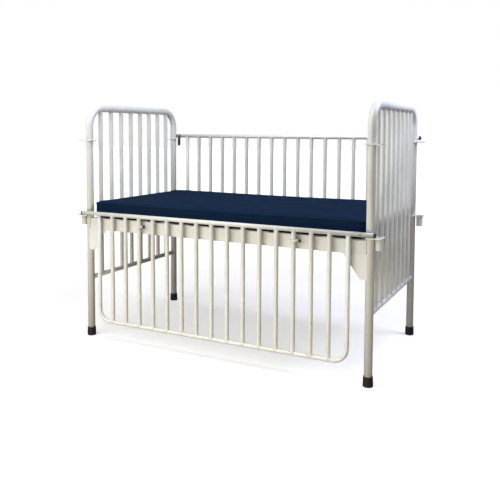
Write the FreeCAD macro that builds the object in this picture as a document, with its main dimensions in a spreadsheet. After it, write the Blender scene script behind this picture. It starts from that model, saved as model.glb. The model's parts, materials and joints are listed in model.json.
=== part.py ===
import FreeCAD, Part
import math
import os

import Sketcher

# A children's hospital cot in bent and welded steel tube. Two end frames carry a mattress deck.
# The two side rails slide up and down in guides on the deck, and four corner brackets take a drip pole.
# X runs along the cot, Y across it from front to back, Z up. The origin is on the floor under its middle.

DIMENSIONS = [
    ("post_span", 1400, "posts, centre to centre along the cot"),
    ("post_width", 730, "posts, centre to centre across the cot"),
    ("post_dia", 34, "end hoop tube"),
    ("post_wall", 1.5, "end hoop tube wall"),
    ("hoop_height", 1116, "centre of the hoop's top tube above the floor"),
    ("hoop_bend", 90, "bend radius of the hoop at the tube's centre"),
    ("cross_dia", 22, "lower crossbar of an end frame"),
    ("cross_height", 289, "centre of the lower crossbar above the floor"),
    ("end_bar_dia", 21, "upright bars of an end frame"),
    ("end_bar_count", 8, "upright bars in an end frame"),
    ("bar_wall", 1.2, "wall of all bars and of the rail tubes"),
    ("foot_dia", 42, "rubber foot at its widest"),
    ("foot_top_dia", 39.6, "rubber foot at its mouth"),
    ("foot_tall", 41, "rubber foot height"),
    ("foot_base", 5, "rubber under the post"),
    ("foot_bevel", 2, "bevel round the foot's lower edge"),
    ("deck_top", 584, "top of the deck frame"),
    ("deck_depth", 56, "height of the deck frame's channels"),
    ("deck_flange", 30, "channel flange"),
    ("deck_wall", 2.5, "channel wall"),
    ("deck_fold", 3, "outer radius of the channel's folds"),
    ("deck_step", 14, "outer face of a side channel, beyond the post centres"),
    ("deck_end", 12, "end of a side channel before the post centre"),
    ("deck_gap", 1.5, "open gap between a channel end and the post"),
    ("slat_count", 14, "deck slats"),
    ("slat_wide", 50, "width of a slat"),
    ("slat_thick", 2, "thickness of a slat"),
    ("slat_pitch", 97, "slats, centre to centre"),
    ("slat_inset", 4, "slat end inside the channel's outer face"),
    ("gusset_reach", 90, "gusset length along the deck channel"),
    ("gusset_drop", 98, "gusset height on the post"),
    ("gusset_toe", 19, "flat lower edge of the gusset"),
    ("gusset_round", 10, "rounding of the gusset's lower corner"),
    ("gusset_thick", 4, "gusset plate"),
    ("gusset_step", 16, "outer face of the gusset, beyond the post centres"),
    ("seat_gap", 0.3, "clearance of a part that rests on another one"),
    ("mattress_thick", 76, "mattress"),
    ("mattress_gap", 2, "mattress end to the post's inner side"),
    ("mattress_side", 11, "mattress side beyond the post centres"),
    ("mattress_round", 14, "rounding of the mattress edges"),
    ("rail_step", 30, "side rail plane beyond the post centres"),
    ("rail_dia", 19, "top tube of a side rail"),
    ("bar_dia", 19, "U tube and upright bars of a side rail"),
    ("rail_overhang", 21, "top tube beyond the post centres"),
    ("rail_drop", 517, "top tube to bottom tube of a side rail, centre to centre"),
    ("rail_bend", 58, "bend radius of the rail's lower corners"),
    ("rail_bar_count", 15, "upright bars in a side rail"),
    ("rail_pitch", 77.5, "bars of a side rail, centre to centre"),
    ("rail_high_drop", 138, "hoop's top tube down to the raised rail's top tube, centre to centre"),
    ("cap_head", 9, "length of the cap's head"),
    ("cap_plug", 12, "length of the cap's plug inside the tube"),
    ("cap_round", 2.5, "rounding of the cap's end"),
    ("rest_lift", 15.2, "top of the plates that the lowered rail rests on, above the deck"),
    ("rest_thick", 4, "rest plate"),
    ("rest_inner", 10, "inner edge of the rest plate, inside the post centre"),
    ("rest_outer", 54, "outer edge of the rest plate, beyond the post centre"),
    ("rest_back", 20, "rest plate towards the cot's middle"),
    ("rest_front", 40, "rest plate beyond the post centres"),
    ("rest_round", 8, "rounding of the plate's outer corners"),
    ("pole_step", 37, "drip pole axis beyond the post centre"),
    ("pole_dia", 24, "bore for the drip pole"),
    ("socket_dia", 30, "drip pole socket"),
    ("socket_tall", 47, "drip pole socket height"),
    ("socket_floor", 3, "closed bottom of the socket"),
    ("ring_drop", 17, "raised rail's top tube down to the top of the pole ring"),
    ("ring_thick", 4, "pole ring plate"),
    ("ring_nose", 25, "nose of the ring plate inside the post centre"),
    ("ring_half", 19, "half width of the ring plate"),
    ("guide_bar", 5, "bars between the cot's middle and a guide"),
    ("guide_drop", 20, "top of the deck down to the middle of a guide"),
    ("guide_thick", 7, "guide plate"),
    ("guide_half", 18, "half width of the guide plate"),
    ("guide_front", 13, "guide plate beyond the rail's plane"),
    ("guide_round", 8, "rounding of the guide's outer corners"),
    ("guide_clear", 0.5, "running clearance between bar and eye"),
    ("boss_dia", 12, "threaded boss for the clamp screw"),
    ("boss_reach", 21.5, "end of the boss from the bar's centre"),
    ("screw_dia", 6, "clamp screw"),
    ("screw_clear", 0.1, "clearance round the clamp screw"),
    ("screw_bite", 7, "screw inside its knob"),
    ("knob_dia", 13, "clamp knob"),
    ("knob_tall", 9, "clamp knob length"),
    ("knob_groove", 1.4, "radius of a finger groove in the knob"),
    ("knob_grooves", 8, "finger grooves round the knob"),
    ("catch_wide", 16, "rail catch"),
    ("catch_long", 57, "rail catch below its pivot"),
    ("catch_thick", 4, "rail catch plate"),
    ("catch_side", 1, "catch to the top tube, side gap"),
    ("catch_clear", 3, "catch edge to the post"),
    ("catch_shut", 0.4, "notch to the ring plate"),
    ("catch_bolt", 6, "pivot bolt of the catch"),
    ("bolt_clear", 0.1, "clearance round the pivot bolt"),
    ("bolt_head", 10, "head and nut of the pivot bolt"),
    ("head_thick", 3, "thickness of the bolt head"),
    ("nut_thick", 4, "thickness of the nut"),
]

doc = FreeCAD.newDocument("hospital_cot")
dims = doc.addObject("Spreadsheet::Sheet", "dims")
for row, (alias, size, note) in enumerate(DIMENSIONS, start=1):
    dims.set("A%d" % row, alias)
    dims.set("B%d" % row, str(size))
    dims.set("C%d" % row, note)
    dims.setAlias("B%d" % row, alias)
doc.recompute()

nodes = []

HALF_SPAN = "dims.post_span / 2"
HALF_WIDTH = "dims.post_width / 2"
POST_R = "dims.post_dia / 2"
END_BAR_R = "dims.end_bar_dia / 2"
BAR_R = "dims.bar_dia / 2"
RAIL_R = "dims.rail_dia / 2"
RAIL_Y = "(dims.post_width / 2 + dims.rail_step)"
REST_TOP = "(dims.deck_top + dims.rest_lift)"
RAIL_LOW = "(%s + dims.seat_gap + %s)" % (REST_TOP, RAIL_R)
RAIL_HIGH = "(dims.hoop_height - dims.rail_high_drop)"
TUBE_END = "(dims.post_span / 2 + dims.rail_overhang)"
DECK_Y = "(dims.post_width / 2 + dims.deck_step)"
DECK_LOW = "(dims.deck_top - dims.deck_depth)"
GUIDE_Z = "(dims.deck_top - dims.guide_drop)"
CATCH_X = "(dims.post_span / 2 - dims.post_dia / 2 - dims.catch_clear - dims.catch_wide / 2)"
CATCH_Y = "(%s - %s - dims.catch_side - dims.catch_thick)" % (RAIL_Y, RAIL_R)

SIDES = {"left": -1, "right": 1}
ROWS = {"front": -1, "back": 1}
PLANES = {"XY": ("XY_Plane", 1), "XZ": ("XZ_Plane", -1), "YZ": ("YZ_Plane", 1)}
TURNS = {
    "x": FreeCAD.Rotation(FreeCAD.Vector(0, 1, 0), 90),
    "y": FreeCAD.Rotation(FreeCAD.Vector(1, 0, 0), -90),
    "z": FreeCAD.Rotation(),
}


def value(expression):
    """The number that an expression on the sheet gives."""
    return float(dims.evalExpression(expression))


def bind(thing, **expressions):
    for name, expression in expressions.items():
        thing.setExpression(name, expression)
    return thing


def place(thing, x="0", y="0", z="0"):
    for axis, expression in zip("xyz", (x, y, z)):
        thing.setExpression("Placement.Base." + axis, expression)
    return thing


def signed(sign, expression):
    return "%d * (%s)" % (sign, expression)


def node(thing, name):
    """Marks a finished sub-part and gives it its own name."""
    thing.Label = name
    nodes.append(thing)
    return thing


# Part primitives and booleans

def cylinder(name, radius, length, x="0", y="0", z="0", axis="z"):
    """A round bar from a start point along one axis."""
    rod = doc.addObject("Part::Cylinder", name)
    rod.Placement = FreeCAD.Placement(FreeCAD.Vector(), TURNS[axis])
    bind(rod, Radius=radius, Height=length)
    return place(rod, x, y, z)


def block(name, length, width, height, x, y, z):
    """A box from its lowest corner."""
    box = doc.addObject("Part::Box", name)
    bind(box, Length=length, Width=width, Height=height)
    return place(box, x, y, z)


def cut(name, base, *tools):
    result = base
    for number, tool in enumerate(tools, start=1):
        last = number == len(tools)
        step = doc.addObject("Part::Cut", name if last else "%s_step%d" % (name, number))
        step.Base = result
        step.Tool = tool
        result = step
    return result


def fuse(name, *pieces):
    whole = doc.addObject("Part::MultiFuse", name)
    whole.Shapes = list(pieces)
    return whole


# Sketches and bodies

def new_sketch(body, name, plane, offset="0"):
    """A sketch on one of the body's own planes, moved to a coordinate along the plane's axis."""
    role, sign = PLANES[plane]
    sketch = body.newObject("Sketcher::SketchObject", name)
    sketch.AttachmentSupport = [([f for f in body.Origin.OriginFeatures if f.Role == role][0], "")]
    sketch.MapMode = "FlatFace"
    sketch.setExpression("AttachmentOffset.Base.z", signed(sign, offset))
    return sketch


def constrain(sketch, expression, kind, *where):
    """A dimension of a sketch that follows the sheet."""
    number = sketch.addConstraint(Sketcher.Constraint(kind, *where, value(expression)))
    sketch.setExpression("Constraints[%d]" % number, expression)


def pin_point(sketch, edge, end, u, v):
    constrain(sketch, u, "DistanceX", -1, 1, edge, end)
    constrain(sketch, v, "DistanceY", -1, 1, edge, end)


def draw_circle(sketch, radius, u="0", v="0"):
    centre = FreeCAD.Vector(value(u), value(v), 0)
    circle = Part.Circle(centre, FreeCAD.Vector(0, 0, 1), value(radius))
    edge = sketch.addGeometry(circle, False)
    constrain(sketch, radius, "Radius", edge)
    pin_point(sketch, edge, 3, u, v)


def draw_outline(sketch, corners):
    """A closed outline of straight edges between corners given as expressions."""
    points = [FreeCAD.Vector(value(u), value(v), 0) for u, v in corners]
    edges = []
    for start, end in zip(points, points[1:] + points[:1]):
        edges.append(sketch.addGeometry(Part.LineSegment(start, end), False))
    for number, edge in enumerate(edges):
        sketch.addConstraint(Sketcher.Constraint("Coincident", edge, 2, edges[(number + 1) % len(edges)], 1))
        pin_point(sketch, edge, 1, *corners[number])


def pad(body, sketch, length, plane):
    """Extrudes a sketch towards the positive end of its plane's axis."""
    feature = body.newObject("PartDesign::Pad", body.Name + "_pad")
    feature.Profile = sketch
    feature.Reversed = PLANES[plane][1] < 0
    bind(feature, Length=length)
    return feature


def extrude(name, plane, corners, start, length):
    """A body with a straight-edged outline, from a coordinate along the plane's axis."""
    body = doc.addObject("PartDesign::Body", name)
    sketch = new_sketch(body, name + "_outline", plane, start)
    draw_outline(sketch, corners)
    pad(body, sketch, length, plane)
    return body


def revolve(name, corners, axis):
    """A body turned about the X or Z axis from an outline in the XZ plane."""
    body = doc.addObject("PartDesign::Body", name)
    sketch = new_sketch(body, name + "_outline", "XZ")
    draw_outline(sketch, corners)
    turn = body.newObject("PartDesign::Revolution", name + "_turn")
    turn.Profile = sketch
    turn.ReferenceAxis = (sketch, ["V_Axis" if axis == "z" else "H_Axis"])
    turn.Angle = 360
    return body


def bent_rod(name, plane, half_width, open_end, closed_end, bend, radius):
    """A round rod bent to a U: two straight legs, two bends and a straight run at the closed end."""
    body = doc.addObject("PartDesign::Body", name)
    w, start, end, r = (value(e) for e in (half_width, open_end, closed_end, bend))
    way = 1 if end > start else -1
    axis = FreeCAD.Vector(0, 0, 1)
    spine = new_sketch(body, name + "_spine", plane)
    first_leg = spine.addGeometry(Part.LineSegment(
        FreeCAD.Vector(-w, start, 0), FreeCAD.Vector(-w, end - way * r, 0)), False)
    quarter = (math.pi / 2, math.pi) if way > 0 else (math.pi, 1.5 * math.pi)
    first_bend = spine.addGeometry(Part.ArcOfCircle(
        Part.Circle(FreeCAD.Vector(-w + r, end - way * r, 0), axis, r), *quarter), False)
    run = spine.addGeometry(Part.LineSegment(
        FreeCAD.Vector(-w + r, end, 0), FreeCAD.Vector(w - r, end, 0)), False)
    quarter = (0, math.pi / 2) if way > 0 else (1.5 * math.pi, 2 * math.pi)
    second_bend = spine.addGeometry(Part.ArcOfCircle(
        Part.Circle(FreeCAD.Vector(w - r, end - way * r, 0), axis, r), *quarter), False)
    second_leg = spine.addGeometry(Part.LineSegment(
        FreeCAD.Vector(w, end - way * r, 0), FreeCAD.Vector(w, start, 0)), False)
    near, far = (2, 1) if way > 0 else (1, 2)
    for joint in ((first_leg, 2, first_bend, near), (first_bend, far, run, 1),
                  (run, 2, second_bend, near), (second_bend, far, second_leg, 1)):
        spine.addConstraint(Sketcher.Constraint("Tangent", *joint))
    for kind, edge in (("Vertical", first_leg), ("Horizontal", run), ("Vertical", second_leg)):
        spine.addConstraint(Sketcher.Constraint(kind, edge))
    for edge in (first_bend, second_bend):
        constrain(spine, bend, "Radius", edge)
    pin_point(spine, first_leg, 1, signed(-1, half_width), open_end)
    pin_point(spine, second_leg, 2, half_width, open_end)
    constrain(spine, closed_end, "DistanceY", -1, 1, run, 1)
    profile = new_sketch(body, name + "_profile", "XY", open_end)
    centre = ("0", signed(-1, half_width)) if plane == "YZ" else (signed(-1, half_width), "0")
    draw_circle(profile, radius, *centre)
    doc.recompute()
    pipe = body.newObject("PartDesign::AdditivePipe", name + "_pipe")
    pipe.Profile = profile
    pipe.Spine = (spine, [])
    return body


def bar_row(name, count, pitch, low, high, along, outside):
    """A row of upright tubes of one outside radius about the middle, along X or along Y."""
    body = doc.addObject("PartDesign::Body", name)
    sketch = new_sketch(body, name + "_outline", "XY", low)
    first = "-(%s) * (%s - 1) / 2" % (pitch, count)
    for radius in (outside, outside + " - dims.bar_wall"):
        draw_circle(sketch, radius, *((first, "0") if along == "x" else ("0", first)))
    bar = pad(body, sketch, "(%s) - (%s)" % (high, low), "XY")
    return pattern(body, sketch, bar, count, pitch, "H_Axis" if along == "x" else "V_Axis")


def pattern(body, sketch, feature, count, pitch, axis):
    doc.recompute()
    row = body.newObject("PartDesign::LinearPattern", body.Name + "_row")
    row.Originals = [feature]
    row.Direction = (sketch, [axis])
    bind(row, Length="(%s) * (%s - 1)" % (pitch, count), Occurrences=count)
    body.Tip = row
    return body


def round_edges(body, edges, radius):
    """Rounds some edges of the body's last feature."""
    base = body.Tip
    rounding = body.newObject("PartDesign::Fillet", body.Name + "_rounding")
    rounding.Base = (base, edges)
    bind(rounding, Radius=radius)


def corner_edges(body, axis, *corner):
    """The straight edges of a plate along one axis that pass through a corner of its outline. A corner
    given by one coordinate takes the edges on both sides of the plate."""
    doc.recompute()
    others = [name for name in "xyz" if name != axis]
    found = []
    for number, edge in enumerate(body.Shape.Edges, start=1):
        spot = edge.CenterOfMass
        along = abs(getattr(edge.tangentAt(edge.FirstParameter), axis)) > 0.99
        if along and all(abs(getattr(spot, o) - value(c)) < 0.01 for o, c in zip(others, corner)):
            found.append("Edge%d" % number)
    return found


# End frames

def end_frame(side):
    """A bent hoop that stands on the floor, its crossbar and its upright bars."""
    x = signed(SIDES[side], HALF_SPAN)
    name = side + "_end_hoop"
    spans = ("YZ", HALF_WIDTH, "dims.foot_base", "dims.hoop_height", "dims.hoop_bend")
    core = place(bent_rod(name + "_core", *spans, POST_R), x)
    bore = place(bent_rod(name + "_bore", *spans, POST_R + " - dims.post_wall"), x)
    node(cut(name, core, bore), name)

    name = side + "_end_crossbar"
    low = signed(-1, HALF_WIDTH)
    rod = cylinder(name + "_rod", "dims.cross_dia / 2", "dims.post_width", x, low, "dims.cross_height", "y")
    hollow = cylinder(name + "_hollow", "dims.cross_dia / 2 - dims.bar_wall", "dims.post_width",
                      x, low, "dims.cross_height", "y")
    node(cut(name, rod, hollow, core), name)

    name = side + "_end_bars"
    pitch = "dims.post_width / (dims.end_bar_count + 1)"
    bars = place(bar_row(name + "_row", "dims.end_bar_count", pitch, "dims.cross_height",
                         "dims.hoop_height", "y", END_BAR_R), x)
    node(cut(name, bars, core, rod), name)
    return core


def foot_cap(row, side):
    """A rubber cap pushed over the foot of a post."""
    outline = [
        ("0", "0"),
        ("dims.foot_dia / 2 - dims.foot_bevel", "0"),
        ("dims.foot_dia / 2", "dims.foot_bevel"),
        ("dims.foot_top_dia / 2", "dims.foot_tall"),
        (POST_R, "dims.foot_tall"),
        (POST_R, "dims.foot_base"),
        ("0", "dims.foot_base"),
    ]
    cap = revolve("foot_cap_%s_%s" % (row, side), outline, "z")
    place(cap, signed(SIDES[side], HALF_SPAN), signed(ROWS[row], HALF_WIDTH))
    node(cap, cap.Name)


# Deck

def channel(name, plane, face, way, start, length):
    """A folded channel: an upright web at one coordinate, with two flanges towards the cot's middle."""
    inside = face + " - dims.deck_wall"
    lip = face + " - dims.deck_flange"
    outline = [(face, DECK_LOW), (face, "dims.deck_top"), (lip, "dims.deck_top"),
               (lip, "dims.deck_top - dims.deck_wall"), (inside, "dims.deck_top - dims.deck_wall"),
               (inside, DECK_LOW + " + dims.deck_wall"), (lip, DECK_LOW + " + dims.deck_wall"),
               (lip, DECK_LOW)]
    body = extrude(name, plane, [(signed(way, u), v) for u, v in outline], start, length)
    folds = []
    for height in (DECK_LOW, "dims.deck_top"):
        folds += corner_edges(body, "x" if plane == "YZ" else "y", signed(way, face), height)
    round_edges(body, folds, "dims.deck_fold")
    return body


def post_notch(name, row, side):
    """The room that a side channel leaves round a post: round outside, square inside."""
    radius = "(%s + dims.deck_gap)" % POST_R
    x = signed(SIDES[side], HALF_SPAN)
    y = signed(ROWS[row], HALF_WIDTH)
    around = cylinder(name + "_around", radius, "dims.deck_depth", x, y, DECK_LOW)
    inner_y = y if ROWS[row] < 0 else "%s - %s" % (HALF_WIDTH, radius)
    inner = block(name + "_inner", "2 * " + radius, radius, "dims.deck_depth", "%s - %s" % (x, radius),
                  inner_y, DECK_LOW)
    return fuse(name, around, inner)


def deck_side_channel(row):
    """A channel along one side, with its web outside and its ends fitted round the posts."""
    name = row + "_deck_channel"
    half = "(%s - dims.deck_end)" % HALF_SPAN
    body = channel(name + "_profile", "YZ", DECK_Y, ROWS[row], signed(-1, half), "2 * " + half)
    notches = [post_notch("%s_%s_notch" % (name, side), row, side) for side in SIDES]
    return node(cut(name, body, *notches), name)


def deck_end_channel(side):
    """A channel across the head or foot of the deck, flat against the end frame's bars."""
    name = side + "_deck_channel"
    half = "(%s - dims.deck_flange)" % DECK_Y
    face = "(%s - %s)" % (HALF_SPAN, END_BAR_R)
    node(channel(name, "XZ", face, SIDES[side], signed(-1, half), "2 * " + half), name)


def deck_slats():
    name = "deck_slats"
    body = doc.addObject("PartDesign::Body", name)
    sketch = new_sketch(body, name + "_outline", "XY", "dims.deck_top")
    first = "-dims.slat_pitch * (dims.slat_count - 1) / 2"
    half = "(%s - dims.slat_inset)" % DECK_Y
    low, high = first + " - dims.slat_wide / 2", first + " + dims.slat_wide / 2"
    draw_outline(sketch, [(low, "-" + half), (high, "-" + half), (high, half), (low, half)])
    slat = pad(body, sketch, "dims.slat_thick", "XY")
    node(pattern(body, sketch, slat, "dims.slat_count", "dims.slat_pitch", "H_Axis"), name)


def gusset(row, side, post, deck):
    """A corner plate under the deck channel, scribed to the post and to the channel's lower fold."""
    name = "gusset_%s_%s" % (row, side)
    way = SIDES[side]
    root = "(%s - %s)" % (HALF_SPAN, POST_R)
    bottom = DECK_LOW + " - dims.gusset_drop"
    tip = "%s - dims.gusset_reach" % root
    toe = "%s - dims.gusset_toe" % root
    top = DECK_LOW + " + dims.deck_fold"
    outline = [(HALF_SPAN, top), (tip, top), (tip, DECK_LOW), (toe, bottom), (HALF_SPAN, bottom)]
    outline = [(signed(way, u), v) for u, v in outline]
    start = "%s + dims.gusset_step - dims.gusset_thick" % HALF_WIDTH
    if ROWS[row] < 0:
        start = "-(%s + dims.gusset_step)" % HALF_WIDTH
    plate = extrude(name + "_plate", "XZ", outline, start, "dims.gusset_thick")
    round_edges(plate, corner_edges(plate, "y", signed(way, toe), bottom), "dims.gusset_round")
    node(cut(name, plate, post, deck), name)


# Corner brackets

def rest_plate(row, side, post):
    """The plate that a lowered rail rests on, and that carries the drip pole socket."""
    name = "rest_plate_%s_%s" % (row, side)
    inner = signed(SIDES[side], "%s - dims.rest_inner" % HALF_SPAN)
    outer = signed(SIDES[side], "%s + dims.rest_outer" % HALF_SPAN)
    back = signed(ROWS[row], "%s - dims.rest_back" % HALF_WIDTH)
    front = signed(ROWS[row], "%s + dims.rest_front" % HALF_WIDTH)
    low = REST_TOP + " - dims.rest_thick"
    plate = extrude(name + "_plate", "XY", [(inner, back), (outer, back), (outer, front), (inner, front)],
                    low, "dims.rest_thick")
    round_edges(plate, corner_edges(plate, "z", outer), "dims.rest_round")
    pole_x = signed(SIDES[side], "%s + dims.pole_step" % HALF_SPAN)
    pole = cylinder(name + "_pole", "dims.pole_dia / 2", "dims.rest_thick", pole_x,
                    signed(ROWS[row], HALF_WIDTH), low)
    node(cut(name, plate, post, pole), name)


def pole_socket(row, side):
    """A blind tube for the foot of a drip pole."""
    name = "pole_socket_%s_%s" % (row, side)
    x = signed(SIDES[side], "%s + dims.pole_step" % HALF_SPAN)
    y = signed(ROWS[row], HALF_WIDTH)
    low = REST_TOP + " - dims.rest_thick - dims.socket_tall"
    sleeve = cylinder(name + "_sleeve", "dims.socket_dia / 2", "dims.socket_tall", x, y, low)
    bore = cylinder(name + "_bore", "dims.pole_dia / 2", "dims.socket_tall", x, y,
                    low + " + dims.socket_floor")
    node(cut(name, sleeve, bore), name)


def pole_ring(row, side, post):
    """A flat ring that steadies the drip pole, with a nose on which the rail catch hooks."""
    name = "pole_ring_%s_%s" % (row, side)
    way = SIDES[side]
    x = signed(way, "%s + dims.pole_step" % HALF_SPAN)
    y = signed(ROWS[row], HALF_WIDTH)
    low = RAIL_HIGH + " - dims.ring_drop - dims.ring_thick"
    nose = signed(way, "%s - dims.ring_nose" % HALF_SPAN)
    near, far = y + " - dims.ring_half", y + " + dims.ring_half"
    tongue = extrude(name + "_tongue", "XY", [(nose, near), (x, near), (x, far), (nose, far)],
                     low, "dims.ring_thick")
    end = cylinder(name + "_end", "dims.ring_half", "dims.ring_thick", x, y, low)
    hole = cylinder(name + "_hole", "dims.pole_dia / 2", "dims.ring_thick", x, y, low)
    node(cut(name, fuse(name + "_whole", tongue, end), post, hole), name)


# Rail guides on the deck, with their clamp screws

def rail_guide(row, side):
    """A plate on the deck channel with an eye round one rail bar and a threaded boss on its side."""
    name = "rail_guide_%s_%s" % (row, side)
    out = ROWS[row]
    hand = -out
    bar_x = "%d * dims.guide_bar * dims.rail_pitch" % SIDES[side]
    bar_y = signed(out, RAIL_Y)
    left, right = bar_x + " - dims.guide_half", bar_x + " + dims.guide_half"
    root, front = signed(out, DECK_Y), signed(out, RAIL_Y + " + dims.guide_front")
    plate = extrude(name + "_plate", "XY", [(left, root), (right, root), (right, front), (left, front)],
                    GUIDE_Z + " - dims.guide_thick / 2", "dims.guide_thick")
    corners = corner_edges(plate, "z", left, front) + corner_edges(plate, "z", right, front)
    round_edges(plate, corners, "dims.guide_round")
    boss_x = bar_x if hand > 0 else bar_x + " - dims.boss_reach"
    boss = cylinder(name + "_boss", "dims.boss_dia / 2", "dims.boss_reach", boss_x, bar_y, GUIDE_Z, "x")
    bore = cylinder(name + "_bore", BAR_R + " + dims.guide_clear", "dims.boss_dia", bar_x, bar_y,
                    GUIDE_Z + " - dims.boss_dia / 2")
    thread = cylinder(name + "_thread", "dims.screw_dia / 2 + dims.screw_clear", "dims.boss_reach",
                      boss_x, bar_y, GUIDE_Z, "x")
    node(cut(name, fuse(name + "_whole", plate, boss), bore, thread), name)

    name = "clamp_screw_%s_%s" % (row, side)
    tip = "(%s + dims.seat_gap)" % BAR_R
    knob_start = "(dims.boss_reach + 1)"
    length = "(%s - %s + dims.screw_bite)" % (knob_start, tip)
    tip_x = "%s + %s" % (bar_x, tip) if hand > 0 else "%s - %s - %s" % (bar_x, tip, length)
    screw = cylinder(name, "dims.screw_dia / 2", length, tip_x, bar_y, GUIDE_Z, "x")
    node(screw, name)
    clamp_knob(row, side, bar_x, bar_y, hand, knob_start, screw)


def clamp_knob(row, side, bar_x, bar_y, hand, start, screw):
    """A round hand knob with finger grooves, moulded on the screw."""
    name = "clamp_knob_%s_%s" % (row, side)
    body = doc.addObject("PartDesign::Body", name + "_grip")
    begin = start if hand > 0 else "-(%s + dims.knob_tall)" % start
    disc = new_sketch(body, name + "_disc", "YZ", begin)
    draw_circle(disc, "dims.knob_dia / 2")
    pad(body, disc, "dims.knob_tall", "YZ")
    doc.recompute()
    flank = new_sketch(body, name + "_flank", "YZ", begin)
    draw_circle(flank, "dims.knob_groove", "dims.knob_dia / 2 + dims.knob_groove / 3")
    groove = body.newObject("PartDesign::Pocket", name + "_groove")
    groove.Profile = flank
    groove.Reversed = True
    bind(groove, Length="dims.knob_tall")
    doc.recompute()
    ring = body.newObject("PartDesign::PolarPattern", name + "_grooves")
    ring.Originals = [groove]
    ring.Axis = (disc, ["N_Axis"])
    ring.Angle = 360
    bind(ring, Occurrences="dims.knob_grooves")
    body.Tip = ring
    place(body, bar_x, bar_y, GUIDE_Z)
    node(cut(name, body, screw), name)


# Side rails

def side_rail(row, height):
    """A drop side: a straight top tube, a U tube below it and a row of bars between them."""
    y = signed(ROWS[row], RAIL_Y)
    catch_side = "right" if row == "front" else "left"
    catch_x = signed(SIDES[catch_side], CATCH_X)
    name = row + "_rail_top_tube"
    start, length = signed(-1, TUBE_END), "2 * " + TUBE_END
    rod = cylinder(name + "_rod", RAIL_R, length, start, y, height, "x")
    hollow = cylinder(name + "_hollow", RAIL_R + " - dims.bar_wall", length, start, y, height, "x")
    cross = cylinder(name + "_cross", "dims.catch_bolt / 2", "2 * dims.rail_dia", catch_x,
                     y + " - dims.rail_dia", height, "y")
    node(cut(name, rod, hollow, cross), name)

    name = row + "_rail_u_tube"
    half = "(dims.rail_pitch * (dims.rail_bar_count + 1) / 2)"
    bottom = "%s - dims.rail_drop" % height
    spans = ("XZ", half, height, bottom, "dims.rail_bend")
    core = place(bent_rod(name + "_core", *spans, BAR_R), "0", y)
    bore = place(bent_rod(name + "_bore", *spans, BAR_R + " - dims.bar_wall"), "0", y)
    node(cut(name, core, bore, rod), name)

    name = row + "_rail_bars"
    bars = bar_row(name + "_row", "dims.rail_bar_count", "dims.rail_pitch", bottom, height, "x",
                   BAR_R)
    node(cut(name, place(bars, "0", y), rod, core), name)

    for side in SIDES:
        rail_cap(row, side, y, height)
    catch_bolt(row, catch_x, height)
    rail_catch(row, catch_side, catch_x, height)


def rail_cap(row, side, y, height):
    """A plastic plug with a head as wide as the tube, that closes the end of the top tube."""
    name = "%s_rail_cap_%s" % (row, side)
    way = SIDES[side]
    plug_r = RAIL_R + " - dims.bar_wall"
    outline = [
        ("-dims.cap_plug", "0"),
        ("-dims.cap_plug", plug_r),
        ("0", plug_r),
        ("0", RAIL_R),
        ("dims.cap_head - dims.cap_round", RAIL_R),
        ("dims.cap_head", RAIL_R + " - dims.cap_round"),
        ("dims.cap_head", "0"),
    ]
    cap = revolve(name, [(signed(way, u), v) for u, v in outline], "x")
    place(cap, signed(way, TUBE_END), y, height)
    node(cap, name)


def catch_bolt(row, x, height):
    """The bolt through the top tube on which the catch turns, with its head and nut."""
    name = row + "_catch_bolt"
    out = ROWS[row]
    shank_from = CATCH_Y + " - dims.seat_gap"
    outside = "%s + %s" % (RAIL_Y, RAIL_R)
    pieces = [
        ("shank", "dims.catch_bolt / 2", shank_from, "%s + dims.nut_thick - (%s)" % (outside, shank_from)),
        ("head", "dims.bolt_head / 2", shank_from + " - dims.head_thick", "dims.head_thick"),
        ("nut", "dims.bolt_head / 2", outside, "dims.nut_thick"),
    ]
    solids = []
    for part_name, radius, begin, length in pieces:
        y = begin if out > 0 else "-(%s) - (%s)" % (begin, length)
        solids.append(cylinder("%s_%s" % (name, part_name), radius, length, x, y, height, "y"))
    node(fuse(name, *solids), name)


def rail_catch(row, side, x, height):
    """A flat hook that hangs from the top tube and grips the nose of the pole ring."""
    name = row + "_rail_catch"
    way = SIDES[side]
    half = "dims.catch_wide / 2"
    thick = "dims.catch_thick"
    stem = block(name + "_stem", "dims.catch_wide", thick, "dims.catch_long - %s" % half,
                 "-" + half, "0", "%s - dims.catch_long" % half)
    eye = cylinder(name + "_eye", half, thick, axis="y")
    toe = cylinder(name + "_toe", half, thick, z="%s - dims.catch_long" % half, axis="y")
    hole = cylinder(name + "_hole", "dims.catch_bolt / 2 + dims.bolt_clear", thick, axis="y")
    nose = "(dims.ring_nose - (%s - %s))" % (HALF_SPAN, CATCH_X)
    upper = "sqrt(dims.ring_drop ^ 2 + %s ^ 2) - dims.catch_shut" % nose
    lower = "sqrt((dims.ring_drop + dims.ring_thick) ^ 2 + (%s) ^ 2) + dims.catch_shut" % half
    disc = cylinder(name + "_disc", lower, thick, axis="y")
    core = cylinder(name + "_core", upper, thick, axis="y")
    edge = "(-%s - dims.catch_shut)" % nose
    mouth_x = edge if way > 0 else "-(%s) - %s" % (edge, "dims.catch_wide")
    mouth = block(name + "_mouth", "dims.catch_wide", thick, "2 * dims.catch_wide", mouth_x, "0",
                  "-2 * dims.catch_wide")
    notch = doc.addObject("Part::Common", name + "_notch")
    notch.Base = cut(name + "_band", disc, core)
    notch.Tool = mouth
    catch = cut(name, fuse(name + "_lever", stem, eye, toe), notch, hole)
    if row == "front":
        catch.Placement = FreeCAD.Placement(FreeCAD.Vector(), FreeCAD.Rotation(FreeCAD.Vector(0, 1, 0), 90))
    y = CATCH_Y if ROWS[row] > 0 else "-(%s + dims.catch_thick)" % CATCH_Y
    node(place(catch, x, y, height), name)


# Mattress

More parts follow.
